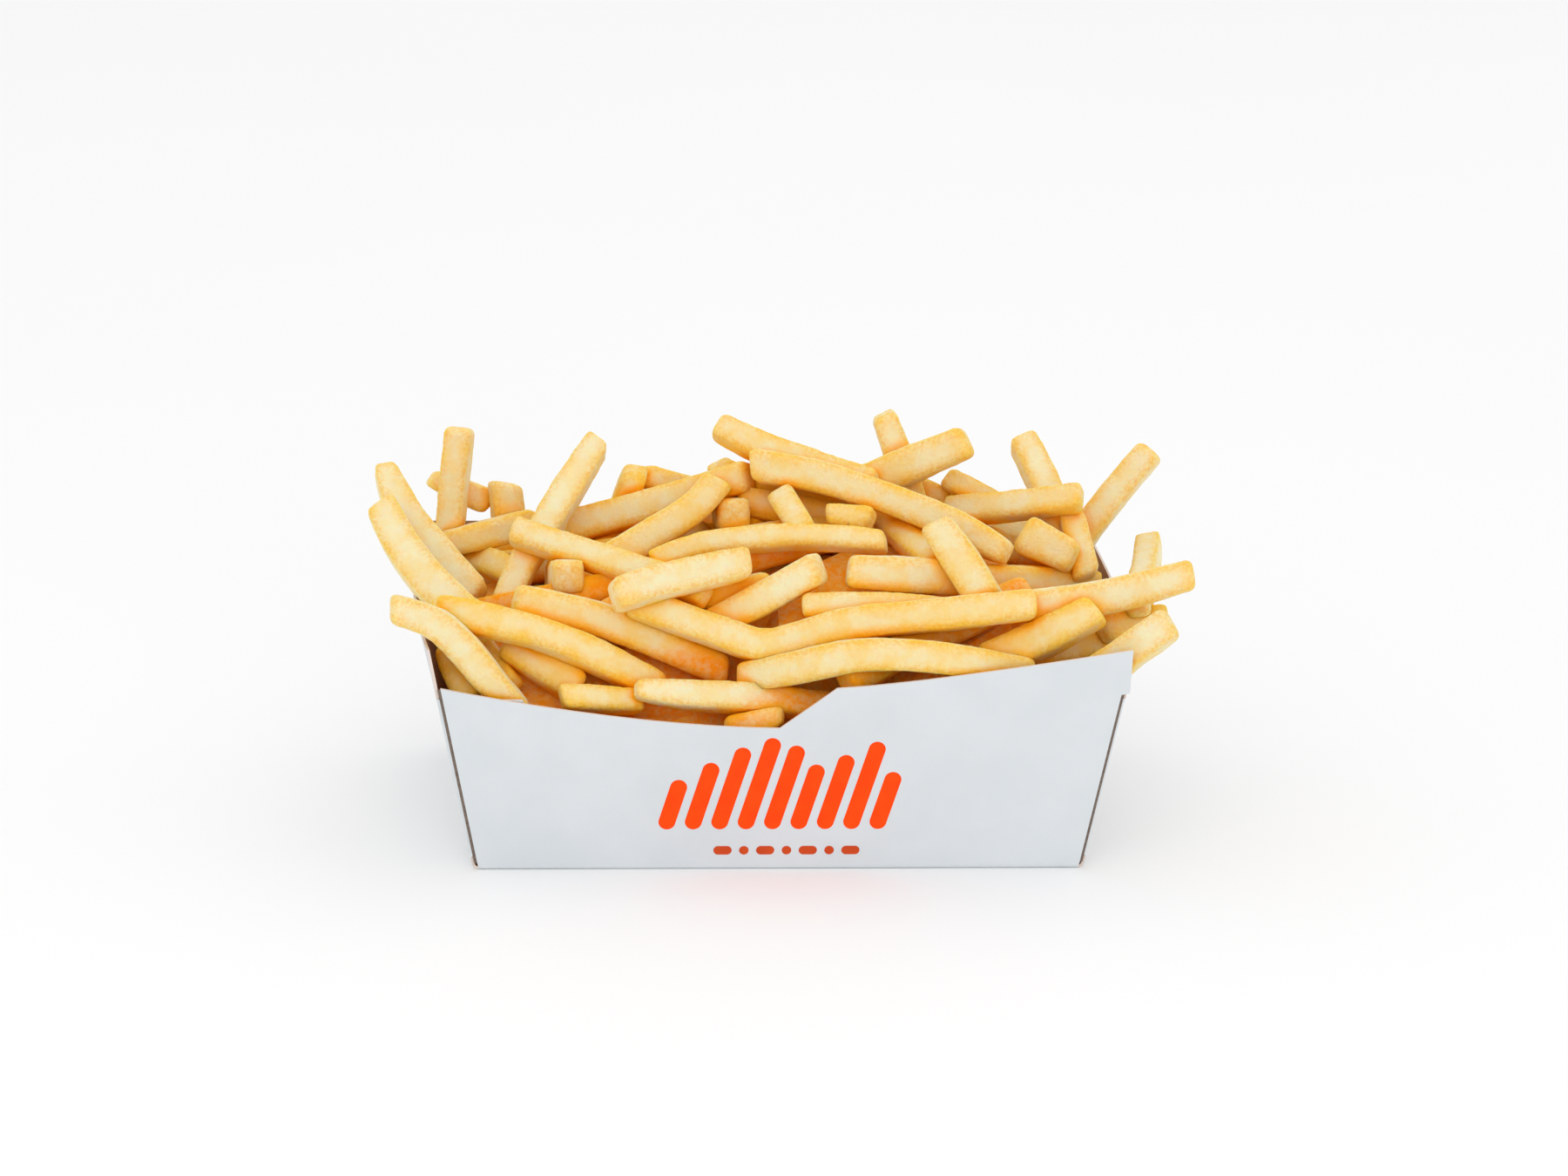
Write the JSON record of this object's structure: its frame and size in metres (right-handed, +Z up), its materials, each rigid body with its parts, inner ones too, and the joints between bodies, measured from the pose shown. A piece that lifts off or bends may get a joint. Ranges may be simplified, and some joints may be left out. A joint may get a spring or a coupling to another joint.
{
  "type": "french fries in a carton",
  "caption": "Open paperboard tray with sloping sides and a stepped front edge, heaped with french fries that rise over the rim.",
  "frame": {"origin": "middle of the carton's base, on the surface that it stands on", "axes": "+X to the right along the front panel, -Y out of the front panel, +Z up"},
  "size_m": [0.1914, 0.1117, 0.092],
  "materials": {
    "paperboard": "smooth white-coated paperboard, uncoated brown inside, with a plain orange print on the front",
    "fried_potato": "fried potato, pale gold with browner edges and ends, slightly oily"
  },
  "bodies": {
    "root": {"carton": "paperboard", "fries": "fried_potato"}
  },
  "joints": []
}
